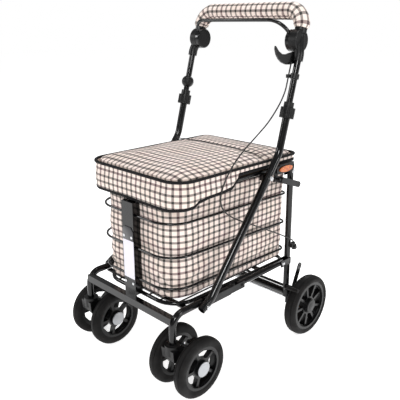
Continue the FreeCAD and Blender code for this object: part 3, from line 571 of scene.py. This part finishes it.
def edge_distance(x, y):
    """How far inside the lid's outline a point is, the corners counted."""
    dx, dy = LID_HALF - abs(x), min(y - LID_FRONT, LID_BACK - y)
    radius = LID_FRONT_R if y < 0 else LID_BACK_R
    if dx < radius and dy < radius:
        return radius - math.hypot(radius - dx, radius - dy)
    return min(dx, dy)


bm = bmesh.new()
bm.from_mesh(pad.data)
for vert in bm.verts:
    x, y, z = vert.co
    inside = max(0, edge_distance(x, y))
    if z > 0.507:
        crown = LID_EDGE + (LID_CROWN - LID_EDGE) * (1 - math.exp(-inside / 0.030))
        crown += 0.0032 * ease(inside, 0.02, 0.12)
        soft = noise.noise(Vector((x * 13, y * 11, 0.6)))
        crown += 0.0016 * soft * ease(inside, 0.0, 0.05)
        gap = (y - CREASE_Y) / 0.011
        crown -= 0.0042 * math.exp(-gap * gap)
        blown = max(-0.002, min(0.002, (z - (LID_EDGE + 0.012)) * 0.25))
        vert.co.z = crown + blown * ease(inside, 0, 0.02)
    vert.co.z = max(LID_BOTTOM, vert.co.z)
    out = -edge_distance(x, y)
    if out > 0.001:
        way = Vector((x, y, 0)).normalized()
        vert.co -= way * (out - 0.001)
uv = bm.loops.layers.uv.verify()
for face in bm.faces:
    for loop in face.loops:
        x, y, z = loop.vert.co
        loop[uv].uv = (x * PITCH / LID_ACROSS, y * PITCH / LID_ALONG)
bm.to_mesh(pad.data)
bm.free()
pad.data.materials.clear()
pad.data.materials.append(plaid)
pad.data.shade_smooth()
smoothing = pad.modifiers.new("cover", "SUBSURF")
smoothing.levels = smoothing.render_levels = 1
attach(pad, "seat_lid")
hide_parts("seat_cushion")


def piping_line(s):
    point, out = plain_line(s, skirt_line)
    return point - out * 0.0012 + Vector((0, 0, LID_EDGE - 0.0008)), out


piece("lid_piping", trim_tube(skirt_length, piping_line, 0.0034, 0.0036, step=0.005), binding,
      body="seat_lid")

thread, shader = new_finish("black polyester thread", "1a171a", Roughness=0.6)
bumped(thread, shader, 0.5, 0.3, 0.05)
bm = bmesh.new()
STITCHES, STITCHED_HALF = 20, 0.148
for number in range(STITCHES):
    x = -STITCHED_HALF + 2 * STITCHED_HALF * number / (STITCHES - 1)
    turn = Matrix.Rotation(math.radians(52), 4, "Z") @ Matrix.Rotation(math.radians(90), 4, "Y")
    top = LID_CROWN + 0.0032 * ease(LID_HALF - abs(x), 0.02, 0.12) - 0.0012
    top -= 0.006 * math.exp(-(LID_HALF - abs(x)) / 0.012)
    made = bmesh.ops.create_uvsphere(bm, u_segments=8, v_segments=6, radius=1)["verts"]
    bmesh.ops.scale(bm, vec=(0.0010, 0.0021, 0.0100), verts=made)
    bmesh.ops.transform(bm, matrix=Matrix.Translation((x, CREASE_Y, top)) @ turn, verts=made)
piece("lid_crease_stitches", bm, thread, body="seat_lid")

plywood, shader = new_finish("birch plywood", "b08a5c", Roughness=0.7)
place = add(plywood, "TexCoord").outputs["Object"]
long = add(plywood, "Mapping", {"Vector": place, "Scale": (60, 6, 400)})
fibre = add(plywood, "TexNoise", {"Vector": long.outputs["Vector"], "Scale": 2.0, "Detail": 6.0})
grain = add(plywood, "ValToRGB", {"Fac": fibre.outputs["Fac"]})
grain.color_ramp.elements[0].color, grain.color_ramp.elements[1].color = tone("8f6a41"), tone("cdaa7c")
feed(plywood, shader, Base_Color=grain.outputs["Color"])
dress(plywood, "seat_board")


# --- Padded grip ---------------------------------------------------------------------------------
# A foam sleeve in plaid round the handle's bar and both its corners. The cover is gathered on the
# inside of each corner and drawn in at its ends, where it slips into the brake housings.
LEAN = math.atan(0.27)
LEAN_WAY = Vector((0, math.sin(LEAN), math.cos(LEAN)))
FORWARD = Vector((0, -math.cos(LEAN), math.sin(LEAN)))
ELBOW = Vector((0, 0.0943 + 0.003, 0.5289))
GRIP_HALF, GRIP_TOP_S, GRIP_FOOT_S, GRIP_BEND, GRIP_R = 0.170, 0.3495, 0.3065, 0.042, 0.0198
GRIP_PITCH = 0.017               # the plaid's spacing on the grip


def grip_path():
    """Length of the grip's centre line, and the point, its direction and its inner side there."""
    foot = GRIP_TOP_S - GRIP_FOOT_S - GRIP_BEND
    arc, bar = GRIP_BEND * math.pi / 2, 2 * (GRIP_HALF - GRIP_BEND)
    total = 2 * (foot + arc) + bar

    def at(s):
        mirror = 1
        if s > total / 2:
            s, mirror = total - s, -1
        if s < foot:
            x, up, turn = GRIP_HALF, GRIP_FOOT_S + s, 0
        elif s < foot + arc:
            turn = (s - foot) / GRIP_BEND
            x = GRIP_HALF - GRIP_BEND + GRIP_BEND * math.cos(turn)
            up = GRIP_TOP_S - GRIP_BEND + GRIP_BEND * math.sin(turn)
        else:
            x, up, turn = GRIP_HALF - GRIP_BEND - (s - foot - arc), GRIP_TOP_S, math.pi / 2
        point = ELBOW + LEAN_WAY * up + Vector((x * mirror, 0, 0))
        inner = Vector((-math.cos(turn) * mirror, 0, 0)) - LEAN_WAY * math.sin(turn)
        return point, inner, min(s - foot, foot + arc - s) / arc

    return total, at


grip_length, grip_at = grip_path()


def grip_cover(u, v):
    """Angle 0 is the inside of the bend, where the cover closes in gathers over the foam."""
    point, inner, bend = grip_at(u)
    angle = v / GRIP_R
    end = min(u, grip_length - u)
    radius = GRIP_R - 0.0040 * (1 - ease(end, -0.001, 0.007))
    inside = 0.5 + 0.5 * math.cos(angle)
    radius += 0.0011 * ease(bend, -0.3, 0.25) * inside * math.sin(u * 2 * math.pi / 0.0085)
    gather = math.exp(-((angle - 0.55) / 0.45) ** 2) * ease(end, 0.03, 0.06)
    radius += 0.0013 * gather * math.sin((u + 0.006 * angle) * 2 * math.pi / 0.0135)
    radius += 0.0006 * noise.noise(Vector((u * 45, math.cos(angle), math.sin(angle) * 2)))
    radius -= 0.0016 * math.exp(-((angle - 0.35) / 0.16) ** 2)
    return point + inner * (radius * math.cos(angle)) + FORWARD * (radius * math.sin(angle))


bm = cloth_grid(grip_length, 2 * math.pi * GRIP_R, (0.0022, 0.0035), grip_cover, wrap=True,
                scale=(PITCH / GRIP_PITCH, PITCH / GRIP_PITCH))
ends = [e for e in bm.edges if e.is_boundary]
bmesh.ops.holes_fill(bm, edges=ends, sides=0)
bmesh.ops.recalc_face_normals(bm, faces=bm.faces)
grip = piece("grip_cover", bm, plaid, body="handle", replaces=["grip_pad"], smooth=50)


# --- Brake cable -------------------------------------------------------------------------------------
# A steel wire in a black PVC sheath, 3.6 mm across, from the brake housing to the adjuster on the
# right upright. It swings out in one bow, in two pieces.
CABLE_MM = [(172.5, 140, 746), (168.3, 137, 715), (169, 124, 668), (170.5, 70, 614),
            (170.5, 20, 583), (170.2, -25, 557), (169.8, -66, 525), (169.4, -95, 487),
            (169.2, -106, 457), (169.1, -101, 431), (168.9, -80, 409), (168.8, -46, 388),
            (168.9, 12, 360), (170, 70, 331), (171.6, 132, 300), (176.2, 165, 281),
            (177.4, 183, 270)]
CABLE_R = 0.0018
sheath, shader = new_finish("black PVC cable sheath", "060607", Roughness=0.3)
bumped(sheath, shader, 1.5, 0.1, 0.03)
meet = [(a + b) / 2 for a, b in zip(CABLE_MM[7], CABLE_MM[8])]
for name, points, node, other, turn in (
        ("brake_cable_upper_run", CABLE_MM[:8] + [meet], "brake_cable_upper", "handle", (1, 0)),
        ("brake_cable_lower_run", [meet] + CABLE_MM[8:], "brake_cable_lower", "rear_frame", (0, 1))):
    route = bpy.data.curves.new(name + "_route", "CURVE")
    route.dimensions = "3D"
    route.resolution_u = 8
    spline = route.splines.new("NURBS")
    spline.points.add(len(points) - 1)
    for knot, place in zip(spline.points, points):
        knot.co = [c / 1000 for c in place] + [1]
    spline.order_u, spline.use_endpoint_u = 3, True
    carrier = bpy.data.objects.new(name + "_route", route)
    bpy.context.scene.collection.objects.link(carrier)
    bpy.context.view_layer.update()
    path = [v.co.copy() for v in bpy.data.meshes.new_from_object(carrier).vertices]
    route.bevel_depth, route.bevel_resolution, route.use_fill_caps = CABLE_R, 3, True
    bpy.context.view_layer.update()
    mesh = bpy.data.meshes.new_from_object(carrier.evaluated_get(bpy.context.evaluated_depsgraph_get()))
    bpy.data.objects.remove(carrier)
    run = bpy.data.objects.new(name, mesh)
    bpy.context.scene.collection.objects.link(run)
    mesh.materials.clear()
    mesh.materials.append(sheath)
    mesh.shade_smooth()
    ends = [Vector(points[i]) / 1000 for i in (0, -1)]
    if other == "handle":
        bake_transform(run)
    else:
        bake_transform(run)
    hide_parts(node)


# --- Wheels -------------------------------------------------------------------------------------------
# Solid dark rubber tyres on black nylon rims. Each tyre has a rounded crown with two fine grooves
# and a narrow ledge at the rim, and the moulding leaves it dull with a trace of dust.
rubber, shader = new_finish("dusty moulded rubber", "0d0c0c", Roughness=0.7, Specular_IOR_Level=0.22)
place = bumped(rubber, shader, 0.9, 0.3, 0.08, rough=(0.6, 0.82))
dust = add(rubber, "TexNoise", {"Vector": place, "Scale": 45.0, "Detail": 6.0})
film = add(rubber, "ValToRGB", {"Fac": dust.outputs["Fac"]})
film.color_ramp.elements[0].position, film.color_ramp.elements[1].position = 0.4, 0.75
film.color_ramp.elements[0].color, film.color_ramp.elements[1].color = tone("0b0a0a"), tone("171514")
feed(rubber, shader, Base_Color=film.outputs["Color"])
dress(rubber, "brake_shoes")

nylon, shader = new_finish("moulded black nylon", "070708", Specular_IOR_Level=0.36)
bumped(nylon, shader, 0.9, 0.2, 0.05, rough=(0.26, 0.42))
dress(nylon, "rear_rim_right", "rear_rim_left", "caster_rim_right_outer", "caster_rim_right_inner",
      "caster_rim_left_outer", "caster_rim_left_inner")


def spun(bm, outline, centre, steps=96):
    """Turns a closed outline of (x, r) points once round an axle along X."""
    verts = [bm.verts.new(centre + Vector((x, 0, r))) for x, r in outline]
    edges = [bm.edges.new((verts[i - 1], verts[i])) for i in range(len(verts))]
    bmesh.ops.spin(bm, geom=verts + edges, cent=centre, axis=(1, 0, 0), dvec=(0, 0, 0),
                   angle=2 * math.pi, steps=steps, use_merge=True, use_duplicate=False)
    bmesh.ops.recalc_face_normals(bm, faces=bm.faces)


def tyre_outline(radius, rim, width):
    """Section of a tyre, from its rim round the crown and back, grooves cut in."""
    half, points = width / 2, []
    bulge = radius - rim
    for degrees in range(0, 181, 10):
        angle = math.radians(degrees)
        x = half * math.cos(angle)
        x = math.copysign(abs(x / half) ** 0.8 * half, x)
        points.append((x, rim + bulge * 0.28 + bulge * 0.72 * math.sin(angle) ** 0.75))
    for spot in (0.42, -0.42):
        near = min(range(len(points)), key=lambda i: abs(points[i][0] - spot * half))
        x, r = points[near]
        points[near:near + 1] = [(x + 0.0009, r), (x + 0.0005, r - 0.0014),
                                 (x - 0.0005, r - 0.0014), (x - 0.0009, r)]
    return [(half * 0.86, rim)] + points + [(-half * 0.86, rim)]


REAR_TYRE, CASTER_TYRE = (0.085, 0.0686, 0.0345), (0.075, 0.0544, 0.028)   # radius, rim, width
for name, body, radius, rim, width in (
        [(f"rear_tyre_{side}", f"{side}_rear_wheel", *REAR_TYRE) for side in ("right", "left")]
        + [(f"caster_tyre_{side}_{place}", f"{side}_{place}_caster_wheel", *CASTER_TYRE)
           for side in ("right", "left") for place in ("outer", "inner")]):
    low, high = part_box(name)
    bm = bmesh.new()
    spun(bm, tyre_outline(radius, rim, width), (low + high) / 2)
    piece(name + "_rubber", bm, rubber, body=body, replaces=[name], smooth=40)


# --- Wheel caps -----------------------------------------------------------------------------------
# Each caster wheel has a domed silver cap over its axle, pressed and lacquered, and each rear wheel
# a low black one. A fine turned line runs round their faces.
silver, shader = new_finish("lacquered silver wheel cap", "a9abae", Metallic=0.7, Coat_Weight=0.3)
bumped(silver, shader, 0.6, 0.1, 0.03, rough=(0.28, 0.42))
CAP_R, CASTER_CAP_HIGH, REAR_CAP_HIGH = 0.0185, 0.0035, 0.003


def wheel_cap(name, body, centre, outward, radius, height, finish):
    """A stepped dome of revolution on an axle along X."""
    outline = [(0, radius), (height * 0.35, radius), (height * 0.55, radius * 0.93),
               (height * 0.6, radius * 0.80), (height * 0.52, radius * 0.72),
               (height * 0.8, radius * 0.55), (height * 0.95, radius * 0.30), (height, 0.0004),
               (0, 0.0004)]
    bm = bmesh.new()
    spun(bm, [(outward * x, r) for x, r in outline], centre, steps=48)
    piece(name, bm, finish, body=body, smooth=40)


for side, sign in (("right", 1), ("left", -1)):
    for place, outward in (("outer", sign), ("inner", -sign)):
        low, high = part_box(f"caster_rim_{side}_{place}")
        middle = (low + high) / 2
        middle.x = high.x if outward > 0 else low.x
        wheel_cap(f"caster_cap_{side}_{place}", f"{side}_{place}_caster_wheel", middle, outward,
                  CAP_R, CASTER_CAP_HIGH, silver)
    low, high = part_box(f"rear_rim_{side}")
    middle = (low + high) / 2
    middle.x = high.x if sign > 0 else low.x
    wheel_cap(f"rear_cap_{side}", f"{side}_rear_wheel", middle, sign, CAP_R, REAR_CAP_HIGH, nylon)


# --- Front plate's label ---------------------------------------------------------------------------
# A plain white vinyl sticker, and above it a dark grey keeper plate with clipped top corners. The
# sticker carries no words.
vinyl, shader = new_finish("white vinyl sticker", "dedbe6", Roughness=0.35, Coat_Weight=0.2)
bumped(vinyl, shader, 6.0, 0.1, 0.05, rough=(0.3, 0.45))
dress(vinyl, "front_plate_label")

keeper_grey, shader = new_finish("dark grey lacquered keeper plate", "3a3a3d", Metallic=0.3,
                                 Coat_Weight=0.3)
bumped(keeper_grey, shader, 1.0, 0.12, 0.04, rough=(0.28, 0.45))
low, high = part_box("front_plate_label")
bm = bmesh.new()
outline = [(-0.0195, 0.3455), (0.0195, 0.3455), (0.0195, 0.368), (0.012, 0.379), (-0.012, 0.379),
           (-0.0195, 0.368)]
plate = bm.faces.new([bm.verts.new((x, low.y + 0.0002, z)) for x, z in outline])
raised = bmesh.ops.extrude_face_region(bm, geom=[plate])["geom"]
bmesh.ops.translate(bm, vec=(0, -0.0010, 0), verts=[v for v in raised if isinstance(v, bmesh.types.BMVert)])
bmesh.ops.recalc_face_normals(bm, faces=bm.faces)
bmesh.ops.bevel(bm, geom=bm.edges[:], offset=0.0003, offset_type="OFFSET", segments=2, affect="EDGES",
                profile=0.5, material=-1)
piece("front_keeper_plate", bm, keeper_grey, body="main_frame", smooth=30)

low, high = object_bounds()
